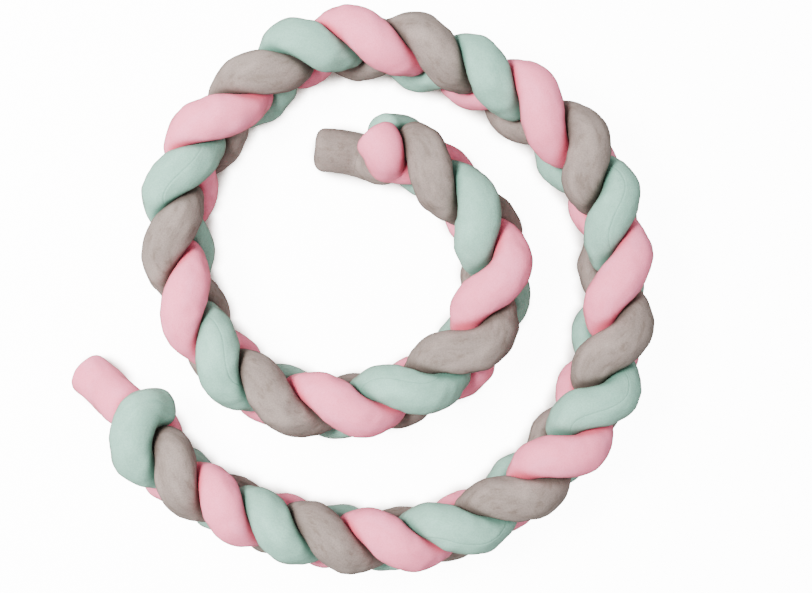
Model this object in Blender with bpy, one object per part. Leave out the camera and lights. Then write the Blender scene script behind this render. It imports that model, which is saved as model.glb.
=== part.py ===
"""Braided crib bumper, lying on its edge in a loose spiral.

Three stuffed velvet tubes (mint, pink and grey) are plaited into one long soft rope.  The flat plait
stands on its edge, so a row of slanting lobes faces up, and it is bent round into about one and three
quarter turns.  Each tube is one solid: a round tube that swells where it is free, lies flat where it
meets its neighbours or the ground, and is closed at both ends.  Lengths are in metres.
"""

from collections import namedtuple
from math import cos, pi, sin

import bmesh
import bpy
import numpy as np

# Driving sizes
TUBE_RADIUS = 0.031
SWING_HEIGHT = 0.05
FLOOR_SINK = 0.008
CONTACT_GAP = 0.0043
EDGE_ROUNDING = 0.009
FOOT_ROUNDING = 0.003
FOOT_FLAT = 0.0012
END_DEPTH = 0.016
END_ROUNDING = 0.012
KNOT_STEP = 0.25

# The mesh
STATION_STEP = 0.003
RING_STEP = 0.021
SIDES = 14
CAP_RINGS = 3
NEAR_STATIONS = 36
HALVINGS = 22

MIDDLE_HEIGHT = SWING_HEIGHT + TUBE_RADIUS - FLOOR_SINK

# The middle of the plait as seen from above: lobe counts the slanting lobes along it, turn is the
# clockwise angle from the right-hand side round the middle of the coil, lean tips the top edge outwards,
# and swing is how far each tube weaves from side to side.
Station = namedtuple("Station", "lobe turn radius lean swing")
ROUTE = (
    Station(-1, -134.6, 0.2680, -5.7, 0.0257),
    Station(0, -116.3, 0.2340, -5.8, 0.0293),
    Station(1, -95.4, 0.2144, 2.4, 0.0219),
    Station(2, -75.8, 0.1867, -6.7, 0.0142),
    Station(3, -44.6, 0.1580, -7.0, 0.0178),
    Station(4, -8.1, 0.1346, -3.5, 0.0212),
    Station(5, 40.4, 0.1159, -7.3, 0.0206),
    Station(6, 86.3, 0.1277, -7.2, 0.0161),
    Station(7, 117.5, 0.1681, -3.8, 0.0161),
    Station(8, 143.1, 0.2209, -2.4, 0.0161),
    Station(9, 161.8, 0.2625, -1.3, 0.0143),
    Station(11, 195.7, 0.3236, 4.0, 0.0131),
    Station(13, 223.5, 0.3549, 4.3, 0.0125),
    Station(14, 238.9, 0.3618, 1.7, 0.0142),
    Station(15, 250.2, 0.3731, 0.5, 0.0138),
    Station(17, 277.8, 0.3428, 4.5, 0.0145),
    Station(18, 290.7, 0.3308, 4.5, 0.0121),
    Station(19, 305.4, 0.3238, 7.9, 0.0163),
    Station(20, 323.0, 0.3194, 1.2, 0.0209),
    Station(21, 337.3, 0.3145, 1.1, 0.0155),
    Station(23, 372.2, 0.2996, 2.6, 0.0205),
    Station(25, 403.5, 0.3076, 0.9, 0.0186),
    Station(27, 436.4, 0.3274, -6.3, 0.0146),
    Station(29, 466.2, 0.3449, -6.4, 0.0153),
    Station(31, 490.5, 0.3762, -7.0, 0.0132),
    Station(32, 501.6, 0.3955, -9.0, 0.0144),
    Station(33, 512.6, 0.4096, -4.8, 0.0241),
    Station(34, 523.0, 0.4250, -3.0, 0.0280),
    Station(35, 532.2, 0.4520, 0.0, 0.0280),
)

# Each tube: the lobe that it makes first, the lobes between which it is plaited, and its colour.
Tube = namedtuple("Tube", "name lobe first last colour roughness")
TUBES = (
    Tube("tube_pink", 1, 1.75, 33.2, (0.84, 0.53, 0.59), 0.85),
    Tube("tube_grey", 2, 1.0, 33.0, (0.44, 0.39, 0.36), 0.85),
    Tube("tube_mint", 3, 1.5, 33.0, (0.52, 0.63, 0.59), 0.85),
)

# Where the loose ends lie: out and up are measured from the plait's middle.
End = namedtuple("End", "name lobe out up")
STARTS = (
    End("tube_pink", 0.88, 0.001, 0.045),
    End("tube_pink", 1.00, -0.009, 0.046),
    End("tube_pink", 1.12, -0.019, 0.018),
    End("tube_grey", -0.02, 0.000, -0.047),
    End("tube_grey", 0.24, -0.004, -0.048),
    End("tube_grey", 0.62, -0.011, -0.049),
    End("tube_mint", 0.99, 0.015, 0.009),
    End("tube_mint", 1.35, 0.018, -0.035),
)
FINISHES = (
    End("tube_pink", 33.70, -0.001, -0.008),
    End("tube_pink", 34.05, 0.009, -0.036),
    End("tube_pink", 34.45, 0.020, -0.050),
    End("tube_grey", 33.35, -0.008, -0.034),
    End("tube_mint", 33.27, -0.018, 0.040),
    End("tube_mint", 33.20, -0.038, 0.008),
)


def natural_spline(knots, values, at):
    """The smooth curve through values at knots, read at other places."""
    gaps = np.diff(knots)
    slopes = np.diff(values, axis=0) / gaps[:, None]
    count = len(knots)
    matrix = np.eye(count)
    right = np.zeros_like(values)
    for i in range(1, count - 1):
        matrix[i, i - 1 : i + 2] = gaps[i - 1], 2 * (gaps[i - 1] + gaps[i]), gaps[i]
        right[i] = 6 * (slopes[i] - slopes[i - 1])
    bend = np.linalg.solve(matrix, right)
    i = np.clip(np.searchsorted(knots, at) - 1, 0, count - 2)
    before = (at - knots[i])[:, None]
    after = (knots[i + 1] - at)[:, None]
    gap = gaps[i][:, None]
    return (
        (bend[i] * after**3 + bend[i + 1] * before**3) / (6 * gap)
        + (values[i] / gap - bend[i] * gap / 6) * after
        + (values[i + 1] / gap - bend[i + 1] * gap / 6) * before
    )


def frame_at(lobes):
    """The plait's middle at some lobe numbers, with its outward and up directions and its swing."""
    knots, turn, radius, lean, swing = np.array(ROUTE, float).T
    turn = np.radians(-turn)
    rows = np.stack([radius * np.cos(turn), radius * np.sin(turn), lean, swing], 1)
    x, y, lean, swing = natural_spline(knots, rows, lobes).T
    before = natural_spline(knots, rows, lobes - 0.01)
    after = natural_spline(knots, rows, lobes + 0.01)
    ahead = (after - before)[:, :2]
    ahead /= np.linalg.norm(ahead, axis=1)[:, None]
    level = np.zeros_like(x)
    out = np.stack([-ahead[:, 1], ahead[:, 0], level], 1)
    up = np.array([0.0, 0.0, 1.0])
    sin_lean = np.sin(np.radians(lean))[:, None]
    cos_lean = np.cos(np.radians(lean))[:, None]
    middle = np.stack([x, y, level + MIDDLE_HEIGHT], 1)
    return middle, out * cos_lean - up * sin_lean, up * cos_lean + out * sin_lean, swing


def tube_line(tube):
    """The middle of one tube as evenly spaced points, from its first loose end to its last."""
    starts = [end for end in STARTS if end.name == tube.name]
    finishes = [end for end in FINISHES if end.name == tube.name]
    plaited = np.arange(tube.first, tube.last, KNOT_STEP)
    lobes = np.concatenate([[end.lobe for end in starts], plaited, [end.lobe for end in finishes]])
    middle, out, up, swing = frame_at(lobes)
    phase = 2 * pi * (lobes - tube.lobe) / 3 + pi / 2
    aside = swing * np.sin(2 * phase)
    height = SWING_HEIGHT * np.sin(phase)
    for ends, first in ((starts, 0), (finishes, len(lobes) - len(finishes))):
        rows = slice(first, first + len(ends))
        aside[rows] = [end.out for end in ends]
        height[rows] = [end.up for end in ends]
    points = middle + out * aside[:, None] + up * height[:, None]
    knots = np.concatenate([[0], np.cumsum(np.linalg.norm(np.diff(points, axis=0), axis=1))])
    fine = natural_spline(knots, points, np.linspace(0, knots[-1], 8 * len(knots)))
    along = np.concatenate([[0], np.cumsum(np.linalg.norm(np.diff(fine, axis=0), axis=1))])
    at = np.linspace(0, along[-1], int(along[-1] / STATION_STEP) + 1)
    return np.stack([np.interp(at, along, fine[:, k]) for k in range(3)], 1)


def rings_along(line):
    """Evenly spaced ring middles down a tube, with the way ahead and two directions across."""
    along = np.arange(len(line)) * STATION_STEP
    at = np.linspace(0, along[-1], int(along[-1] / RING_STEP) + 1)
    place = np.stack([np.interp(at, along, line[:, k]) for k in range(3)], 1)
    ahead = np.gradient(place, axis=0)
    ahead /= np.linalg.norm(ahead, axis=1)[:, None]
    side = np.empty_like(ahead)
    previous = np.cross(ahead[0], (0.0, 0.0, 1.0))
    for k, direction in enumerate(ahead):
        previous = previous - direction * previous.dot(direction)
        previous /= np.linalg.norm(previous)
        side[k] = previous
    return place, ahead, side, np.cross(ahead, side)


def nearby(place, line):
    """For each ring, the stretch of a tube's middle that can matter to it."""
    nearest = ((place[:, None, :] - line[None, :, :]) ** 2).sum(2).argmin(1)
    window = np.arange(-NEAR_STATIONS, NEAR_STATIONS + 1)
    return line[np.clip(nearest[:, None] + window, 0, len(line) - 1)]


def distance(points, near):
    """How far each ring's points are from the nearby middle of a tube."""
    square = (points**2).sum(2)[:, :, None] + (near**2).sum(2)[:, None, :]
    square -= 2 * points @ near.transpose(0, 2, 1)
    return np.sqrt(np.maximum(square.min(2), 0))


def rounded_max(first, second, rounding):
    """The larger of two distances, with a rounded corner between them."""
    blend = np.maximum(rounding - np.abs(first - second), 0) / rounding
    return np.maximum(first, second) + blend**2 * rounding / 4


def outside(points, own, others, ends):
    """Below zero inside the tube: within its radius, nearer to it than to the others, above the floor."""
    mine = distance(points, own)
    field = mine - TUBE_RADIUS
    for other in others:
        field = rounded_max(field, (mine - distance(points, other) + CONTACT_GAP) / 2, EDGE_ROUNDING)
    for tip, ahead in ends:
        beyond = (points - tip) @ ahead - END_DEPTH
        near = ((points - tip) ** 2).sum(2) < (2 * TUBE_RADIUS) ** 2
        field = np.where(near, rounded_max(field, beyond, END_ROUNDING), field)
    return rounded_max(field, -points[:, :, 2], FOOT_ROUNDING)


def reach(place, directions, own, others):
    """Where the tube's skin lies from each ring's middle in each direction."""
    ends = [(own[k], (own[k] - own[j]) / np.linalg.norm(own[k] - own[j])) for k, j in ((0, 1), (-1, -2))]
    own = nearby(place, own)
    others = [nearby(place, other) for other in others]
    low = np.zeros(directions.shape[:2])
    high = np.full(directions.shape[:2], 1.3 * TUBE_RADIUS)
    for _ in range(HALVINGS):
        half = (low + high) / 2
        points = place[:, None, :] + directions * half[:, :, None]
        inside = outside(points, own, others, ends) < 0
        low = np.where(inside, half, low)
        high = np.where(inside, high, half)
    points = place[:, None, :] + directions * low[:, :, None]
    points[:, :, 2] = np.where(points[:, :, 2] < FOOT_FLAT, 0, points[:, :, 2])
    return points


def skin_points(line, others):
    """Rows of points round the tube from its first end to its last, and the point at each end."""
    place, ahead, side, over = rings_along(line)
    angles = 2 * pi * np.arange(SIDES) / SIDES
    cross = side[:, None, :] * np.cos(angles)[:, None] + over[:, None, :] * np.sin(angles)[:, None]
    caps = [pi / 2 * (k + 1) / (CAP_RINGS + 1) for k in range(CAP_RINGS)]
    start = [cross[0] * cos(tip) - ahead[0] * sin(tip) for tip in reversed(caps)]
    end = [cross[-1] * cos(tip) + ahead[-1] * sin(tip) for tip in caps]
    directions = np.concatenate([np.array(start), cross, np.array(end)])
    rows = reach(np.pad(place, ((CAP_RINGS, CAP_RINGS), (0, 0)), mode="edge"), directions, line, others)
    tips = reach(place[[0, -1]], np.stack([-ahead[0], ahead[-1]])[:, None, :], line, others)
    return rows, tips[0, 0], tips[1, 0]


def closed_skin(name, rows, first_tip, last_tip):
    """One closed mesh object from rows of points and two end points."""
    mesh = bmesh.new()
    rings = [[mesh.verts.new(point) for point in row] for row in rows]
    for before, after in zip(rings, rings[1:]):
        for k in range(SIDES):
            mesh.faces.new((before[k - 1], before[k], after[k], after[k - 1]))
    for ring, tip in ((rings[0][::-1], first_tip), (rings[-1], last_tip)):
        pole = mesh.verts.new(tip)
        for k in range(SIDES):
            mesh.faces.new((ring[k - 1], ring[k], pole))
    bmesh.ops.recalc_face_normals(mesh, faces=mesh.faces)
    data = bpy.data.meshes.new(name)
    mesh.to_mesh(data)
    mesh.free()
    data.shade_smooth()
    return bpy.data.objects.new(name, data)


def velvet(tube):
    """A soft matt finish in the tube's colour."""
    material = bpy.data.materials.new(tube.name + "_velvet")
    material.use_nodes = True
    shader = material.node_tree.nodes["Principled BSDF"]
    shader.inputs["Base Color"].default_value = (*tube.colour, 1)
    shader.inputs["Roughness"].default_value = tube.roughness
    shader.inputs["Metallic"].default_value = 0
    return material


def main():
    for obj in list(bpy.data.objects):
        bpy.data.objects.remove(obj)
    bumper = bpy.data.collections.new("crib_bumper")
    bpy.context.scene.collection.children.link(bumper)
    lines = [tube_line(tube) for tube in TUBES]
    skins = [skin_points(line, [other for other in lines if other is not line]) for line in lines]
    points = np.concatenate([rows.reshape(-1, 3) for rows, _, _ in skins])
    middle = (points.min(0) + points.max(0)) / 2
    shift = np.array([middle[0], middle[1], 0])
    for tube, (rows, first_tip, last_tip) in zip(TUBES, skins):
        obj = closed_skin(tube.name, rows - shift, first_tip - shift, last_tip - shift)
        obj.data.materials.append(velvet(tube))
        bumper.objects.link(obj)


main()
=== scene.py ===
"""Looks of the braided crib bumper: three stuffed velvet tubes plaited into a rope that lies in a spiral.

The tubes' middle lines and the way in which they press on each other are worked out as in the CAD model,
on a much finer mesh.  Each tube is then swelled as cloth, sewn along its length, and given a brushed pile.
Lengths are in metres.
"""

from collections import namedtuple
from math import cos, pi, sin

import bmesh
import bpy
import numpy as np
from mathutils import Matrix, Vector


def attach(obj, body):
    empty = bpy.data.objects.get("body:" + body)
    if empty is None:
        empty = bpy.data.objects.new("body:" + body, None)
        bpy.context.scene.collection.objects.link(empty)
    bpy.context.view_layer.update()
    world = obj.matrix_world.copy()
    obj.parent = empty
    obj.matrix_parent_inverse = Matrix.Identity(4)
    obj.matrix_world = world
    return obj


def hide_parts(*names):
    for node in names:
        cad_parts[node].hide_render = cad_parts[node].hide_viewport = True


# The shape: as in the CAD model, but with the tubes closer together and wider in the plait's middle
TUBE_RADIUS = 0.031
SWING_HEIGHT = 0.05
FLOOR_SINK = 0.008
CONTACT_GAP = 0.0005
EDGE_ROUNDING = 0.009
FOOT_ROUNDING = 0.003
END_DEPTH = 0.016
END_ROUNDING = 0.012
CORE_SWELL = 0.009
CORE_SIZE = 0.022
KNOT_STEP = 0.25
CORE_STEP = KNOT_STEP / 4
MIDDLE_HEIGHT = SWING_HEIGHT + TUBE_RADIUS - FLOOR_SINK

# The middle of the whole model, seen from the middle of the coil
ROUTE_SHIFT = np.array([-0.0606, 0.0093, 0.0])

# The mesh: SEAM_COLUMNS are the places of the points beside the seam, measured round the tube
STATION_STEP = 0.003
RING_STEP = 0.003
SIDES = 62
SEAM_COLUMNS = (-0.0028, -0.0015, -0.0007, 0.0, 0.0007, 0.0015, 0.0028)
CAP_RINGS = 12
NEAR_STATIONS = 36
HALVINGS = 15
WIDEST = 1.3 * TUBE_RADIUS
LOBE_NUDGE = 0.01
FINE_STEPS = 8

# How high over the floor, and how far from its neighbours, a tube's skin is quite free
FREE_HEIGHT = 0.008
FREE_GAP = 0.012

# The cloth simulation
CLOTH_STEP = 0.006
CLOTH_SIDES = 32
CLOTH_CAP_RINGS = 6
CLOTH_START = 0.93
CLOTH_PRESSURE = 4
CLOTH_SLACK = 0.06
CLOTH_FRAMES = 20
CLOTH_CAP = 0.008
HELD_LOOSELY = 0.35
TIP_HELD = 0.6
QUITE_FREE = 0.9

# What is kept of it: little of the broad swelling, none at the ends, and at most this far in and out
BROAD_EASING = 8
BROAD_KEPT = 0.15
END_STAY = 0.12
SINK_MOST = 0.0009
SWELL_MOST = 0.0005

# The filling and the folds
LUMP_HEIGHT = 0.0006
LUMP_SIZE = 0.045
SMALL_LUMP_HEIGHT = 0.0003
SMALL_LUMP_SIZE = 0.018
LUMP_WAVES = 22
WAVE_SPREAD = (0.6, 1.5)
FOLD_HEIGHT = 0.0005
FOLD_SPACING = 0.0105
FOLD_DRIFT = 0.8
FLOOR_TOUCH = 0.0008
SEED_STEP = 100
FIRST_SEED = 7

# The seam
STITCH = 0.0045
GROOVE_DEPTH = 0.0004
GROOVE_WIDTH = 0.0008
LIP_HEIGHT = 0.00015
LIP_PLACE = 0.0026
LIP_WIDTH = 0.0016
SEAM_KEPT = 0.15
STITCH_IN_GROOVE = 0.25
STITCH_IN_LIPS = 0.35

# The picture: its middle is measured from the middle of the coil
PIXEL = 0.001364
PICTURE_MIDDLE = (6 * PIXEL, 3.5 * PIXEL)
PICTURE_WIDTH = 812
CAMERA_HEIGHT = 2.1
SENSOR = 36.0
LIGHT_COLOUR = (1.0, 0.985, 0.965)
LIGHTS_AIM = (0, 0, 0.05)
ROOM_LIGHT = 0.6
FLOOR_SIZE = 12
FLOOR_LEVEL = -0.0005

Lamp = namedtuple("Lamp", "name place size power")
LAMPS = (
    Lamp("window", (-1.15, 0.3, 2.5), 1.0, 240.0),
    Lamp("fill", (1.2, -0.4, 2.8), 2.0, 12.0),
)

# The middle of the plait as seen from above: lobe counts the slanting lobes along it, turn is the
# clockwise angle from the right-hand side round the middle of the coil, lean tips the top edge outwards,
# and swing is how far each tube weaves from side to side.
Station = namedtuple("Station", "lobe turn radius lean swing")
ROUTE = (
    Station(-1, -134.6, 0.2680, -5.7, 0.0257),
    Station(0, -116.3, 0.2340, -5.8, 0.0293),
    Station(1, -95.4, 0.2144, 2.4, 0.0219),
    Station(2, -75.8, 0.1867, -6.7, 0.0142),
    Station(3, -44.6, 0.1580, -7.0, 0.0178),
    Station(4, -8.1, 0.1346, -3.5, 0.0212),
    Station(5, 40.4, 0.1159, -7.3, 0.0206),
    Station(6, 86.3, 0.1277, -7.2, 0.0161),
    Station(7, 117.5, 0.1681, -3.8, 0.0161),
    Station(8, 143.1, 0.2209, -2.4, 0.0161),
    Station(9, 161.8, 0.2625, -1.3, 0.0143),
    Station(11, 195.7, 0.3236, 4.0, 0.0131),
    Station(13, 223.5, 0.3549, 4.3, 0.0125),
    Station(14, 238.9, 0.3618, 1.7, 0.0142),
    Station(15, 250.2, 0.3731, 0.5, 0.0138),
    Station(17, 277.8, 0.3428, 4.5, 0.0145),
    Station(18, 290.7, 0.3308, 4.5, 0.0121),
    Station(19, 305.4, 0.3238, 7.9, 0.0163),
    Station(20, 323.0, 0.3194, 1.2, 0.0209),
    Station(21, 337.3, 0.3145, 1.1, 0.0155),
    Station(23, 372.2, 0.2996, 2.6, 0.0205),
    Station(25, 403.5, 0.3076, 0.9, 0.0186),
    Station(27, 436.4, 0.3274, -6.3, 0.0146),
    Station(29, 466.2, 0.3449, -6.4, 0.0153),
    Station(31, 490.5, 0.3762, -7.0, 0.0132),
    Station(32, 501.6, 0.3955, -9.0, 0.0144),
    Station(33, 512.6, 0.4096, -4.8, 0.0241),
    Station(34, 523.0, 0.4250, -3.0, 0.0280),
    Station(35, 532.2, 0.4520, 0.0, 0.0280),
)

# Each tube: the lobe that it makes first, and the lobes between which it is plaited.
Tube = namedtuple("Tube", "name lobe first last")
TUBES = (
    Tube("pink", 1, 1.75, 33.2),
    Tube("grey", 2, 1.0, 33.0),
    Tube("mint", 3, 1.5, 33.0),
)

# How far each tube's sewn seam lies round from its upper side, outwards, in degrees.
Seam = namedtuple("Seam", "name lobe degrees")
SEAMS = (
    Seam("pink", 0, 150),
    Seam("pink", 34, 190),
    Seam("grey", 0, -150),
    Seam("grey", 34, -120),
    Seam("mint", 0, -120),
    Seam("mint", 3, -85),
    Seam("mint", 6, -24),
    Seam("mint", 9, -26),
    Seam("mint", 12, -15),
    Seam("mint", 15, 80),
    Seam("mint", 18, 85),
    Seam("mint", 21, 1),
    Seam("mint", 24, 9),
    Seam("mint", 27, 25),
    Seam("mint", 30, 80),
    Seam("mint", 34, 120),
)

# Where the loose ends lie: out and up are measured from the plait's middle.
End = namedtuple("End", "name lobe out up")
STARTS = (
    End("pink", 0.88, 0.001, 0.045),
    End("pink", 1.00, -0.009, 0.046),
    End("pink", 1.12, -0.019, 0.018),
    End("grey", -0.02, 0.000, -0.047),
    End("grey", 0.24, -0.004, -0.048),
    End("grey", 0.62, -0.011, -0.049),
    End("mint", 0.99, 0.015, 0.009),
    End("mint", 1.35, 0.018, -0.035),
)
FINISHES = (
    End("pink", 33.70, -0.001, -0.008),
    End("pink", 34.05, 0.009, -0.036),
    End("pink", 34.45, 0.020, -0.050),
    End("grey", 33.35, -0.008, -0.034),
    End("mint", 33.27, -0.018, 0.040),
    End("mint", 33.20, -0.038, 0.008),
)

# Each tube's velvet: the colour of the pile seen straight on, where it is brushed the other way, its dark
# tone in tufts and along the seam that is also painted into the creases as shade, the painted shade at
# grazing angles, and how strongly brushing shows.
Velvet = namedtuple("Velvet", "name face brushed deep rim marks")
VELVETS = (
    Velvet(
        "pink",
        face=(0.92, 0.245, 0.38),
        brushed=(0.86, 0.18, 0.30),
        deep=(0.62, 0.065, 0.105),
        rim=(0.40, 0.13, 0.13),
        marks=0.4,
    ),
    Velvet(
        "grey",
        face=(0.23, 0.188, 0.17),
        brushed=(0.125, 0.093, 0.074),
        deep=(0.055, 0.041, 0.033),
        rim=(0.10, 0.076, 0.062),
        marks=0.85,
    ),
    Velvet(
        "mint",
        face=(0.25, 0.455, 0.372),
        brushed=(0.175, 0.375, 0.29),
        deep=(0.06, 0.15, 0.11),
        rim=(0.13, 0.16, 0.125),
        marks=0.5,
    ),
)


def natural_spline(knots, values, at):
    """The smooth curve through values at knots, read at other places."""
    gaps = np.diff(knots)
    slopes = np.diff(values, axis=0) / gaps[:, None]
    count = len(knots)
    matrix = np.eye(count)
    right = np.zeros_like(values)
    for i in range(1, count - 1):
        matrix[i, i - 1 : i + 2] = gaps[i - 1], 2 * (gaps[i - 1] + gaps[i]), gaps[i]
        right[i] = 6 * (slopes[i] - slopes[i - 1])
    bend = np.linalg.solve(matrix, right)
    i = np.clip(np.searchsorted(knots, at) - 1, 0, count - 2)
    before = (at - knots[i])[:, None]
    after = (knots[i + 1] - at)[:, None]
    gap = gaps[i][:, None]
    return (
        (bend[i] * after**3 + bend[i + 1] * before**3) / (6 * gap)
        + (values[i] / gap - bend[i] * gap / 6) * after
        + (values[i + 1] / gap - bend[i + 1] * gap / 6) * before
    )


def frame_at(lobes):
    """The plait's middle at some lobe numbers, with its outward and up directions and its swing."""
    knots, turn, radius, lean, swing = np.array(ROUTE, float).T
    turn = np.radians(-turn)
    rows = np.stack([radius * np.cos(turn), radius * np.sin(turn), lean, swing], 1)
    x, y, lean, swing = natural_spline(knots, rows, lobes).T
    before = natural_spline(knots, rows, lobes - LOBE_NUDGE)
    after = natural_spline(knots, rows, lobes + LOBE_NUDGE)
    ahead = (after - before)[:, :2]
    ahead /= np.linalg.norm(ahead, axis=1)[:, None]
    level = np.zeros_like(x)
    out = np.stack([-ahead[:, 1], ahead[:, 0], level], 1)
    up = np.array([0.0, 0.0, 1.0])
    sin_lean = np.sin(np.radians(lean))[:, None]
    cos_lean = np.cos(np.radians(lean))[:, None]
    middle = np.stack([x, y, level + MIDDLE_HEIGHT], 1) - ROUTE_SHIFT
    return middle, out * cos_lean - up * sin_lean, up * cos_lean + out * sin_lean, swing


def tube_line(tube):
    """The middle of one tube, from end to end, as evenly spaced points with their lobe numbers."""
    starts = [end for end in STARTS if end.name == tube.name]
    finishes = [end for end in FINISHES if end.name == tube.name]
    plaited = np.arange(tube.first, tube.last, KNOT_STEP)
    lobes = np.concatenate([[end.lobe for end in starts], plaited, [end.lobe for end in finishes]])
    middle, out, up, swing = frame_at(lobes)
    phase = 2 * pi * (lobes - tube.lobe) / 3 + pi / 2
    aside = swing * np.sin(2 * phase)
    height = SWING_HEIGHT * np.sin(phase)
    for ends, first in ((starts, 0), (finishes, len(lobes) - len(finishes))):
        rows = slice(first, first + len(ends))
        aside[rows] = [end.out for end in ends]
        height[rows] = [end.up for end in ends]
    points = middle + out * aside[:, None] + up * height[:, None]
    knots = np.concatenate([[0], np.cumsum(np.linalg.norm(np.diff(points, axis=0), axis=1))])
    fine_knots = np.linspace(0, knots[-1], FINE_STEPS * len(knots))
    fine = natural_spline(knots, points, fine_knots)
    along = np.concatenate([[0], np.cumsum(np.linalg.norm(np.diff(fine, axis=0), axis=1))])
    at = np.linspace(0, along[-1], int(along[-1] / STATION_STEP) + 1)
    line = np.stack([np.interp(at, along, fine[:, k]) for k in range(3)], 1)
    return line, np.interp(at, along, np.interp(fine_knots, knots, lobes))


def plait_core():
    """The plait's middle line as closely spaced points."""
    lobes = np.arange(TUBES[0].first, TUBES[0].last, CORE_STEP)
    return frame_at(lobes)[0]


def rings_along(line, step):
    """Evenly spaced ring middles down a tube, with the way ahead, across, and over its top."""
    along = np.arange(len(line)) * STATION_STEP
    at = np.linspace(0, along[-1], int(along[-1] / step) + 1)
    place = np.stack([np.interp(at, along, line[:, k]) for k in range(3)], 1)
    ahead = np.gradient(place, axis=0)
    ahead /= np.linalg.norm(ahead, axis=1)[:, None]
    side = np.cross(ahead, (0.0, 0.0, 1.0))
    side /= np.linalg.norm(side, axis=1)[:, None]
    return at, place, ahead, side, np.cross(side, ahead)


def nearby(place, line):
    """For each ring, the stretch of a tube's middle that can matter to it."""
    nearest = ((place[:, None, :] - line[None, :, :]) ** 2).sum(2).argmin(1)
    window = np.arange(-NEAR_STATIONS, NEAR_STATIONS + 1)
    return line[np.clip(nearest[:, None] + window, 0, len(line) - 1)]


def distance(points, near):
    """How far each ring's points are from the nearby middle of a tube."""
    square = (points**2).sum(2)[:, :, None] + (near**2).sum(2)[:, None, :]
    square -= 2 * points @ near.transpose(0, 2, 1)
    return np.sqrt(np.maximum(square.min(2), 0))


def rounded_max(first, second, rounding):
    """The larger of two distances, with a rounded corner between them."""
    blend = np.maximum(rounding - np.abs(first - second), 0) / rounding
    return np.maximum(first, second) + blend**2 * rounding / 4


class Room:
    """The space that one tube may fill, bounded by its radius, its neighbours, its ends and the floor.

    Near the plait's middle the tube is wider, so that the stuffing closes the gaps between the tubes.
    """

    def __init__(self, place, line, others):
        self.ends = []
        for tip, before in ((line[0], line[1]), (line[-1], line[-2])):
            self.ends.append((tip, (tip - before) / np.linalg.norm(tip - before)))
        self.place = place
        self.own = nearby(place, line)
        self.others = [nearby(place, other) for other in others]
        self.core = nearby(place, plait_core())

    def outside(self, points):
        """Below zero inside the room."""
        mine = distance(points, self.own)
        wider = CORE_SWELL * np.exp(-((distance(points, self.core) / CORE_SIZE) ** 2))
        field = mine - TUBE_RADIUS - wider
        for other in self.others:
            between = (mine - distance(points, other) + CONTACT_GAP) / 2
            field = rounded_max(field, between, EDGE_ROUNDING)
        for tip, ahead in self.ends:
            beyond = (points - tip) @ ahead - END_DEPTH
            near = ((points - tip) ** 2).sum(2) < (2 * TUBE_RADIUS) ** 2
            field = np.where(near, rounded_max(field, beyond, END_ROUNDING), field)
        return rounded_max(field, -points[:, :, 2], FOOT_ROUNDING)

    def freedom(self, points):
        """0 where the skin touches a neighbour or the floor, 1 where it is free."""
        mine = distance(points, self.own)
        clear = np.minimum(points[:, :, 2] / FREE_HEIGHT, 1)
        for other in self.others:
            clear = np.minimum(clear, (distance(points, other) - mine) / FREE_GAP)
        clear = np.clip(clear, 0, 1)
        return clear * clear * (3 - 2 * clear)

    def reach(self, directions):
        """Where the room ends, from each ring's middle in each direction."""
        low = np.zeros(directions.shape[:2])
        high = np.full(directions.shape[:2], WIDEST)
        for _ in range(HALVINGS):
            half = (low + high) / 2
            points = self.place[:, None, :] + directions * half[:, :, None]
            inside = self.outside(points) < 0
            low = np.where(inside, half, low)
            high = np.where(inside, high, half)
        return self.place[:, None, :] + directions * low[:, :, None]


def columns():
    """The angles round a tube from its seam, closer together beside it."""
    beside = np.array(SEAM_COLUMNS) / TUBE_RADIUS
    rest = np.linspace(beside[-1], 2 * pi + beside[0], SIDES - len(beside) + 2)[1:-1]
    return np.concatenate([beside, rest])


class Skin:
    """Rings of directions in which one tube's skin is looked for, caps included."""

    def __init__(self, tube, line, lobes, others, step, angles, cap_rings):
        at, place, ahead, side, over = rings_along(line, step)
        turns = [(row.lobe, row.degrees) for row in SEAMS if row.name == tube.name]
        ring_lobes = np.interp(at, np.arange(len(line)) * STATION_STEP, lobes)
        seam = np.radians(np.interp(ring_lobes, *zip(*turns)))
        turned = (angles + seam[:, None] + pi / 2)[:, :, None]
        cross = side[:, None, :] * np.cos(turned) + over[:, None, :] * np.sin(turned)
        caps = [pi / 2 * (k + 1) / (cap_rings + 1) for k in range(cap_rings)]
        start = [cross[0] * cos(tip) - ahead[0] * sin(tip) for tip in reversed(caps)]
        end = [cross[-1] * cos(tip) + ahead[-1] * sin(tip) for tip in caps]
        pad = ((cap_rings, cap_rings), (0, 0))
        steps = np.arange(1, cap_rings + 1) * TUBE_RADIUS * pi / 2 / (cap_rings + 1)
        self.angles = angles
        self.at = np.concatenate([at[0] - steps[::-1], at, at[-1] + steps])
        self.directions = np.concatenate([np.array(start), cross, np.array(end)])
        self.place = np.pad(place, pad, mode="edge")
        bend = np.gradient(np.gradient(place, step, axis=0), step, axis=0)
        self.bend = np.pad(bend, pad, mode="edge")
        self.room = Room(self.place, line, others)
        self.rows = self.room.reach(self.directions)
        tip_ways = np.stack([-ahead[0], ahead[-1]])[:, None, :]
        self.tips = Room(place[[0, -1]], line, others).reach(tip_ways)[:, 0]


def blurred(table, times):
    """The table with each value eased towards its neighbours, round and along the tube."""
    for _ in range(times):
        table = (np.roll(table, 1, 1) + 2 * table + np.roll(table, -1, 1)) / 4
        wide = np.pad(table, ((1, 1), (0, 0)), mode="edge")
        table = (wide[:-2] + 2 * table + wide[2:]) / 4
    return table


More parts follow.
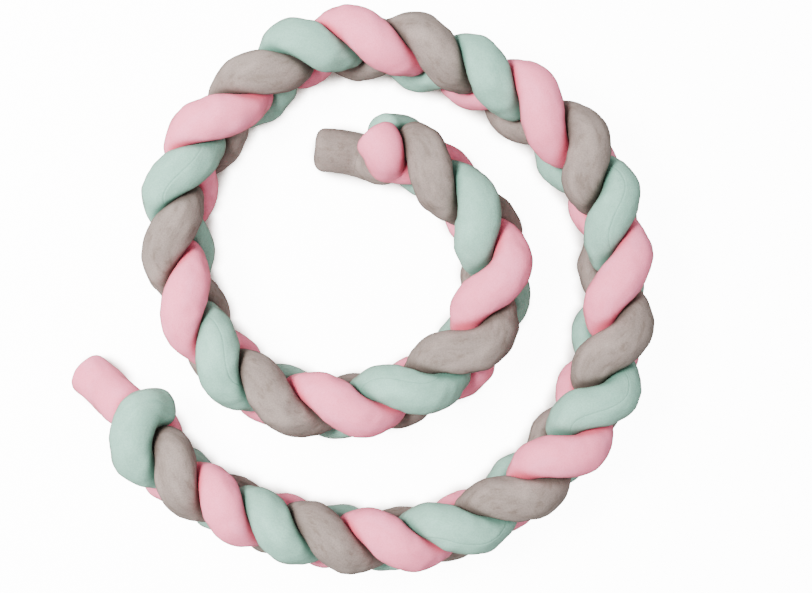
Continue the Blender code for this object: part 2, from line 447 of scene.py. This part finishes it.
def resampled(table, skin, finer):
    """A table over one skin's rings and columns, read at another's."""
    along = np.stack([np.interp(finer.at, skin.at, column) for column in table.T], 1)
    start = skin.angles[0]
    wrapped = np.append(skin.angles, start + 2 * pi)
    wanted = (finer.angles - start) % (2 * pi) + start
    return np.stack([np.interp(wanted, wrapped, np.append(row, row[0])) for row in along])


def swelled(tube, line, lobes, others):
    """Cloth under the pressure of its filling: its skin, and how far each place moves in or out."""
    angles = 2 * pi * np.arange(CLOTH_SIDES) / CLOTH_SIDES
    skin = Skin(tube, line, lobes, others, CLOTH_STEP, angles, CLOTH_CAP_RINGS)
    free = skin.room.freedom(skin.rows)
    rows = skin.place[:, None, :] + (skin.rows - skin.place[:, None, :]) * CLOTH_START
    cloth = closed_skin(tube.name + "_cloth", rows, skin)
    held = cloth.vertex_groups.new(name="held")
    weights = HELD_LOOSELY + (1 - HELD_LOOSELY) * (1 - free.reshape(-1))
    for number, weight in enumerate(weights):
        held.add([number], float(weight), "REPLACE")
    held.add([weights.size, weights.size + 1], TIP_HELD, "REPLACE")
    settings = cloth.modifiers.new("swell", "CLOTH").settings
    settings.quality = 4
    settings.mass = 0.05
    settings.use_pressure = True
    settings.uniform_pressure_force = CLOTH_PRESSURE
    settings.effector_weights.gravity = 0
    settings.tension_stiffness = 8
    settings.compression_stiffness = 4
    settings.shear_stiffness = 3
    settings.bending_stiffness = 0.05
    settings.shrink_min = -CLOTH_SLACK
    settings.vertex_group_mass = "held"
    scene = bpy.context.scene
    for number in range(1, CLOTH_FRAMES + 1):
        scene.frame_set(number)
    result = cloth.evaluated_get(bpy.context.evaluated_depsgraph_get()).data
    points = np.empty(3 * len(result.vertices))
    result.vertices.foreach_get("co", points)
    moved = points.reshape(-1, 3)[: weights.size].reshape(rows.shape) - rows
    data = cloth.data
    bpy.data.objects.remove(cloth)
    bpy.data.meshes.remove(data)
    scene.frame_set(1)
    change = np.clip((moved * skin.directions).sum(2), -CLOTH_CAP, CLOTH_CAP)
    change -= np.median(change[free > QUITE_FREE])
    broad = blurred(change, BROAD_EASING)
    from_ends = np.minimum(skin.at - skin.at[0], skin.at[-1] - skin.at)
    stay = np.clip(from_ends / END_STAY, 0, 1)[:, None] ** 2
    return skin, (blurred(change, 1) - (1 - BROAD_KEPT) * broad) * free * stay


def waves(points, size, count, seed):
    """Smooth noise of about the given size, between -1 and 1."""
    rng = np.random.default_rng(seed)
    ways = rng.normal(size=(count, points.shape[-1]))
    ways /= np.linalg.norm(ways, axis=1)[:, None]
    ways *= 2 * pi / size * rng.uniform(*WAVE_SPREAD, (count, 1))
    phases = rng.uniform(0, 2 * pi, count)
    total = np.zeros(points.shape[:-1])
    for way, phase in zip(ways, phases):
        total += np.sin(points @ way + phase)
    return np.clip(total / np.sqrt(count), -1, 1)


def outward(rows, place):
    """The direction straight out of the skin at each of its points."""
    along = np.gradient(rows, axis=0)
    around = np.roll(rows, -1, axis=1) - np.roll(rows, 1, axis=1)
    normal = np.cross(along, around)
    normal /= np.maximum(np.linalg.norm(normal, axis=2), 1e-9)[:, :, None]
    facing = ((rows - place[:, None, :]) * normal).sum(2)
    return normal * np.sign(facing)[:, :, None]


def sewn_and_filled(skin, rows, seed):
    """The skin with its seam, the lumps of its filling and the small folds where the tube bends."""
    at, angles = skin.at, skin.angles
    normal = outward(rows, skin.place)
    free = skin.room.freedom(rows)
    lumps = LUMP_HEIGHT * waves(rows, LUMP_SIZE, LUMP_WAVES, seed)
    lumps = lumps + SMALL_LUMP_HEIGHT * waves(rows, SMALL_LUMP_SIZE, LUMP_WAVES, seed + 1)
    inner = np.clip((normal * skin.bend[:, None, :]).sum(2) * TUBE_RADIUS, 0, 1)
    drift = waves(rows, size=0.035, count=16, seed=seed + 2)
    strength = 0.4 + 0.6 * waves(rows, size=0.03, count=12, seed=seed + 3)
    folds = strength * np.cos(2 * pi * (at[:, None] / FOLD_SPACING + FOLD_DRIFT * drift))
    across = np.angle(np.exp(1j * angles)) * TUBE_RADIUS
    stitch = np.cos(2 * pi * at / STITCH)[:, None]
    groove = -GROOVE_DEPTH * np.exp(-((across / GROOVE_WIDTH) ** 2))
    lips = LIP_HEIGHT * np.exp(-(((np.abs(across) - LIP_PLACE) / LIP_WIDTH) ** 2))
    seam = groove * (1 + STITCH_IN_GROOVE * stitch) + lips * (1 + STITCH_IN_LIPS * stitch)
    lift = free * (lumps + FOLD_HEIGHT * inner * folds) + np.minimum(free + SEAM_KEPT, 1) * seam
    rows = rows + normal * lift[:, :, None]
    rows[:, :, 2] = np.where(rows[:, :, 2] < FLOOR_TOUCH, 0.0, rows[:, :, 2])
    return rows


def closed_skin(name, rows, skin):
    """One closed mesh object from rows of points and the skin's tips, with cloth coordinates in metres."""
    count, sides = rows.shape[:2]
    points = np.concatenate([rows.reshape(-1, 3), skin.tips])
    ring = np.arange(sides)
    after = np.roll(ring, -1)
    row = np.arange(count - 1)[:, None] * sides
    quads = np.stack([row + ring, row + after, row + sides + after, row + sides + ring], 2)
    quads = quads.reshape(-1, 4)
    last = (count - 1) * sides
    first_cap = np.stack([after, ring, np.full(sides, count * sides)], 1)
    last_cap = np.stack([last + ring, last + after, np.full(sides, count * sides + 1)], 1)
    data = bpy.data.meshes.new(name)
    faces = quads.tolist() + first_cap.tolist() + last_cap.tolist()
    data.from_pydata(points.tolist(), [], faces)
    across = np.append(skin.angles, skin.angles[0] + 2 * pi) * TUBE_RADIUS
    left = np.repeat(across[:-1][None], count - 1, 0)
    right = np.repeat(across[1:][None], count - 1, 0)
    low = np.repeat(skin.at[:-1, None], sides, 1)
    high = np.repeat(skin.at[1:, None], sides, 1)
    u = np.stack([left, right, right, left], 2).reshape(-1)
    v = np.stack([low, low, high, high], 2).reshape(-1)
    first_u = np.stack([across[1:], across[:-1], across[:-1]], 1).reshape(-1)
    last_u = np.stack([across[:-1], across[1:], across[:-1]], 1).reshape(-1)
    cap_v = np.repeat([skin.at[0], skin.at[-1]], 3 * sides)
    flat = np.stack([np.concatenate([u, first_u, last_u]), np.concatenate([v, cap_v])], 1)
    data.uv_layers.new(name="cloth").data.foreach_set("uv", flat.reshape(-1).astype(np.float32))
    mesh = bmesh.new()
    mesh.from_mesh(data)
    bmesh.ops.recalc_face_normals(mesh, faces=mesh.faces)
    mesh.to_mesh(data)
    mesh.free()
    data.shade_smooth()
    obj = bpy.data.objects.new(name, data)
    bpy.context.scene.collection.objects.link(obj)
    return obj


def stuffed_tube(tube, line, lobes, others, seed):
    """One stuffed tube of the plait."""
    skin = Skin(tube, line, lobes, others, RING_STEP, columns(), CAP_RINGS)
    rows = skin.rows
    coarse, change = swelled(tube, line, lobes, others)
    change = np.clip(blurred(resampled(change, coarse, skin), 1), -SINK_MOST, SWELL_MOST)
    rows = rows + skin.directions * change[:, :, None]
    rows = sewn_and_filled(skin, rows, seed)
    return closed_skin(tube.name + "_stuffed_tube", rows, skin)


class Nodes:
    """Short helpers for wiring one material."""

    def __init__(self, name):
        self.material = bpy.data.materials.new(name)
        self.material.use_nodes = True
        self.tree = self.material.node_tree
        self.shader = self.tree.nodes["Principled BSDF"]

    def add(self, kind, **settings):
        """A new node with some of its settings."""
        node = self.tree.nodes.new(kind)
        for key, value in settings.items():
            setattr(node, key, value)
        return node

    def join(self, source, target):
        """Joins an output to an input."""
        self.tree.links.new(source, target)

    def noise(self, vector, scale, detail, roughness):
        """Noise from 0 to 1."""
        node = self.add("ShaderNodeTexNoise")
        node.inputs["Scale"].default_value = scale
        node.inputs["Detail"].default_value = detail
        node.inputs["Roughness"].default_value = roughness
        self.join(vector, node.inputs["Vector"])
        return node.outputs["Fac"]

    def stretched(self, vector, scale):
        """Coordinates times a scale for each axis."""
        node = self.add("ShaderNodeMapping")
        node.inputs["Scale"].default_value = scale
        self.join(vector, node.inputs["Vector"])
        return node.outputs["Vector"]

    def range(self, value, low, high, to_low=0.0, to_high=1.0):
        """A value eased from one number to another while the given value goes from low to high."""
        node = self.add("ShaderNodeMapRange", interpolation_type="SMOOTHSTEP")
        node.inputs["From Min"].default_value = low
        node.inputs["From Max"].default_value = high
        node.inputs["To Min"].default_value = to_low
        node.inputs["To Max"].default_value = to_high
        self.join(value, node.inputs["Value"])
        return node.outputs["Result"]

    def math(self, operation, first, second=0.0):
        """One sum from numbers or outputs."""
        node = self.add("ShaderNodeMath", operation=operation)
        for value, socket in ((first, node.inputs[0]), (second, node.inputs[1])):
            if isinstance(value, (int, float)):
                socket.default_value = value
            else:
                self.join(value, socket)
        return node.outputs["Value"]

    def mix(self, factor, first, second):
        """A blend of two colours, each one a tuple or an output."""
        node = self.add("ShaderNodeMix", data_type="RGBA")
        self.join(factor, node.inputs["Factor"])
        for value, socket in ((first, node.inputs[6]), (second, node.inputs[7])):
            if isinstance(value, tuple):
                socket.default_value = (*value, 1)
            else:
                self.join(value, socket)
        return node.outputs[2]


def velvet_colour(nodes, velvet, cloth, spot, marks):
    """The pile's colour: its marks, tufts and sewn line, then painted shade in the creases and at grazing
    edges, each laid over the last.
    """
    colour = nodes.mix(nodes.math("MULTIPLY", marks, velvet.marks), velvet.face, velvet.brushed)
    raised = nodes.noise(nodes.stretched(cloth, (1.0, 0.6, 1.0)), scale=34, detail=3, roughness=0.5)
    raised = nodes.range(raised, low=0.45, high=0.7)
    lighter = tuple(min(1.3 * part, 0.95) for part in velvet.face)
    colour = nodes.mix(nodes.math("MULTIPLY", raised, velvet.marks), colour, lighter)

    tuft = nodes.noise(spot, scale=520, detail=3, roughness=0.7)
    tuft_shade = nodes.range(tuft, low=0.35, high=0.68, to_high=0.26)
    colour = nodes.mix(tuft_shade, colour, velvet.deep)

    parts = nodes.add("ShaderNodeSeparateXYZ")
    nodes.join(cloth, parts.inputs["Vector"])
    from_seam = nodes.math("ABSOLUTE", parts.outputs["X"])
    line = nodes.range(from_seam, low=0.0003, high=0.0011, to_low=0.26, to_high=0.0)
    stitches = nodes.math("SINE", nodes.math("MULTIPLY", parts.outputs["Y"], 2 * pi / STITCH))
    line = nodes.math("MULTIPLY", line, nodes.range(stitches, low=-1.0, high=1.0, to_low=0.75))
    colour = nodes.mix(line, colour, velvet.deep)

    # Painted shade: the pile turns towards its dark tone where ambient occlusion finds the neighbouring
    # tubes close, in the creases between the lobes.
    crease = nodes.add("ShaderNodeAmbientOcclusion", samples=8)
    crease.inputs["Distance"].default_value = 0.034
    painted_crease_shade = nodes.range(crease.outputs["AO"], low=0.25, high=0.9, to_low=0.82, to_high=0.0)
    colour = nodes.mix(painted_crease_shade, colour, velvet.deep)

    # Painted shade: the pile turns to a darker brownish colour where it is seen at grazing angles, along the
    # lobes' edges.
    graze = nodes.add("ShaderNodeLayerWeight")
    graze.inputs["Blend"].default_value = 0.32
    edge = nodes.range(graze.outputs["Facing"], low=0.42, high=0.76, to_high=0.7)
    return nodes.mix(edge, colour, velvet.rim)


def velvet_material(velvet):
    """Short dense pile with brushed marks, a sewn line, painted shade in its creases and painted darker
    shade at grazing edges.
    """
    nodes = Nodes(velvet.name + "_crystal_velvet")
    place = nodes.add("ShaderNodeTexCoord")
    spot = place.outputs["Object"]
    cloth = place.outputs["UV"]

    brushed = nodes.noise(nodes.stretched(cloth, (1.0, 0.35, 1.0)), scale=70, detail=4, roughness=0.62)
    brushed = nodes.range(brushed, low=0.45, high=0.72, to_high=0.5)
    crushed = nodes.noise(nodes.stretched(cloth, (1.0, 0.7, 1.0)), scale=105, detail=4, roughness=0.6)
    crushed = nodes.range(crushed, low=0.48, high=0.68, to_high=0.65)
    marks = nodes.math("MAXIMUM", brushed, crushed)
    nodes.join(velvet_colour(nodes, velvet, cloth, spot, marks), nodes.shader.inputs["Base Color"])

    rough = nodes.range(marks, low=0.0, high=1.0, to_low=0.82, to_high=0.94)
    nodes.join(rough, nodes.shader.inputs["Roughness"])
    nodes.shader.inputs["Specular IOR Level"].default_value = 0.12
    nodes.shader.inputs["Sheen Weight"].default_value = 0.2
    nodes.shader.inputs["Sheen Roughness"].default_value = 0.4
    nodes.shader.inputs["Sheen Tint"].default_value = (*velvet.face, 1)

    pile = nodes.noise(spot, scale=1400, detail=3, roughness=0.7)
    nap = nodes.noise(nodes.stretched(cloth, (1.0, 0.5, 1.0)), scale=260, detail=4, roughness=0.6)
    height = nodes.math("ADD", nodes.math("MULTIPLY", pile, 0.35), nodes.math("MULTIPLY", nap, 0.65))
    bump = nodes.add("ShaderNodeBump")
    bump.inputs["Strength"].default_value = 0.55
    bump.inputs["Distance"].default_value = 0.0012
    nodes.join(height, bump.inputs["Height"])
    nodes.join(bump.outputs["Normal"], nodes.shader.inputs["Normal"])
    return nodes.material


def add_camera():
    """The camera straight above."""
    top = MIDDLE_HEIGHT + SWING_HEIGHT
    camera = bpy.data.cameras.new("camera")
    camera.sensor_width = SENSOR
    camera.lens = SENSOR * (CAMERA_HEIGHT - top) / PIXEL / PICTURE_WIDTH
    view = bpy.data.objects.new("camera", camera)
    x, y = PICTURE_MIDDLE
    view.location = (x - ROUTE_SHIFT[0], y - ROUTE_SHIFT[1], CAMERA_HEIGHT)
    bpy.context.scene.collection.objects.link(view)
    bpy.context.scene.camera = view


def add_lights():
    """Soft light from the upper left, a weak one opposite, and a white room."""
    for row in LAMPS:
        lamp = bpy.data.lights.new(row.name, "AREA")
        lamp.shape = "DISK"
        lamp.size = row.size
        lamp.energy = row.power
        lamp.color = LIGHT_COLOUR
        obj = bpy.data.objects.new(row.name, lamp)
        obj.location = row.place
        obj.rotation_euler = (Vector(LIGHTS_AIM) - obj.location).to_track_quat("-Z", "Y").to_euler()
        bpy.context.scene.collection.objects.link(obj)
    world = bpy.data.worlds.new("room")
    bpy.context.scene.world = world
    world.use_nodes = True
    background = world.node_tree.nodes["Background"]
    background.inputs["Color"].default_value = (1.0, 1.0, 1.0, 1)
    background.inputs["Strength"].default_value = ROOM_LIGHT


def add_floor():
    """A white ground, glowing evenly to the camera, with a warm painted shadow where the plait lies close
    over it.
    """
    bpy.ops.mesh.primitive_plane_add(size=FLOOR_SIZE, location=(0, 0, FLOOR_LEVEL))
    floor = bpy.context.object
    floor.name = "ground"
    ground = Nodes("ground")
    ground.shader.inputs["Base Color"].default_value = (0.65, 0.64, 0.63, 1)
    ground.shader.inputs["Roughness"].default_value = 0.9
    ground.shader.inputs["Specular IOR Level"].default_value = 0.1
    # Painted shadow: ambient occlusion looked for towards the upper left dims the ground's glow and turns it
    # brown beside the plait, mostly to its lower right.
    shade = ground.add("ShaderNodeAmbientOcclusion", samples=16)
    shade.inputs["Distance"].default_value = 0.036
    shade.inputs["Normal"].default_value = (-0.55, 0.35, 0.76)
    open_sky = ground.range(shade.outputs["AO"], low=0.25, high=0.75)
    tone = ground.mix(open_sky, (0.5, 0.38, 0.3), (1.0, 1.0, 1.0))
    ground.join(tone, ground.shader.inputs["Emission Color"])
    glow = ground.math("MULTIPLY", ground.math("POWER", open_sky, 3.0), 12.0)
    glow = ground.math("ADD", glow, 0.2)
    seen = ground.add("ShaderNodeLightPath")
    glow = ground.math("MULTIPLY", glow, seen.outputs["Is Camera Ray"])
    ground.join(glow, ground.shader.inputs["Emission Strength"])
    floor.data.materials.append(ground.material)


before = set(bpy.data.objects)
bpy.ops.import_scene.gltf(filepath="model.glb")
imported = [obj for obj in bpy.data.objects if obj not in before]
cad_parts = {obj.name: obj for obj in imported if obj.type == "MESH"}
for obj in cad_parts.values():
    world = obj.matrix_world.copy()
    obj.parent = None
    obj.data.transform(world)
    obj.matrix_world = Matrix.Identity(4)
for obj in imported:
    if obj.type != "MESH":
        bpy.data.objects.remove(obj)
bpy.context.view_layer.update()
add_camera()
add_lights()
add_floor()
lines = [tube_line(tube) for tube in TUBES]
for number, (tube, velvet, (line, lobes)) in enumerate(zip(TUBES, VELVETS, lines)):
    others = [other for other, _ in lines if other is not line]
    piece = stuffed_tube(tube, line, lobes, others, SEED_STEP * number + FIRST_SEED)
    piece.data.materials.append(velvet_material(velvet))
    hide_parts("tube_" + tube.name)
    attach(piece, "root")
